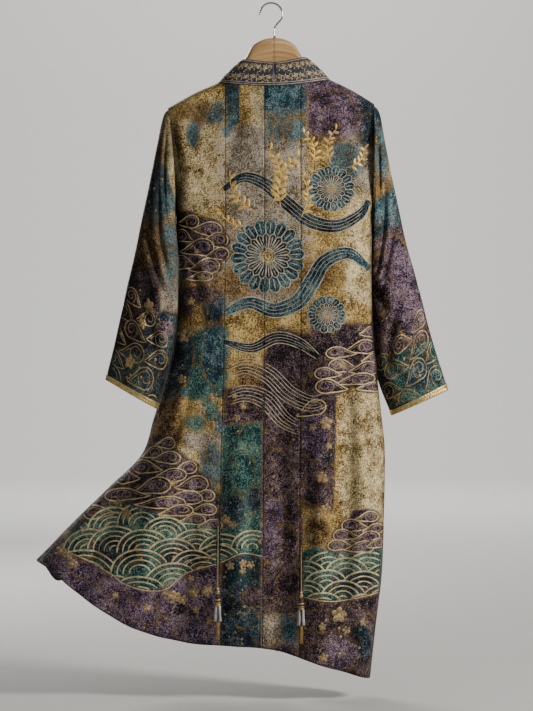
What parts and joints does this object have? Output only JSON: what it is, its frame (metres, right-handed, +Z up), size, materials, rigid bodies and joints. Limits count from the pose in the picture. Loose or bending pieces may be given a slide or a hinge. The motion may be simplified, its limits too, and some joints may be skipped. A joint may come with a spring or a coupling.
{
  "type": "long kimono robe on a hanger",
  "caption": "Long open-front kimono robe with straight sleeves and a collar band, hung on a wooden hanger with a steel hook, its skirt blown to one side, tassels at the back seams.",
  "frame": {"origin": "inner top of the hanger hook, where a rail or wall hook carries it", "axes": "+Z up, the garment back faces -Y and its open front faces +Y, +X to the right seen from behind the robe; the skirt is blown towards -X"},
  "size_m": [0.8895, 0.1846, 1.4514],
  "materials": {
    "robe_cloth": "matte printed cloth with a fine weave and dark lining",
    "collar_cloth": "woven band, dark ground with gold and cream",
    "gold_braid": "metallic thread braid",
    "pale_wood": "clear satin lacquer",
    "hook_steel": "bright wire",
    "gold_cord": "twisted metallic cord",
    "bead_brass": "aged, with dark bands",
    "tassel_thread": "silver and gold thread"
  },
  "bodies": {
    "root": {"back_side_left": "robe_cloth", "back_centre_left": "robe_cloth", "back_centre_right": "robe_cloth", "back_side_right": "robe_cloth", "front_left": "robe_cloth", "front_right": "robe_cloth", "collar_band_left": "collar_cloth", "collar_band_right": "collar_cloth", "sleeve_left": "robe_cloth", "sleeve_right": "robe_cloth", "cuff_braid_left": "gold_braid", "cuff_braid_right": "gold_braid", "hanger_wood": "pale_wood", "hanger_hook": "hook_steel", "tassel_cord_left": "gold_cord", "tassel_beads_left": "bead_brass", "tassel_left": "tassel_thread", "tassel_cord_right": "gold_cord", "tassel_beads_right": "bead_brass", "tassel_right": "tassel_thread"}
  },
  "joints": []
}
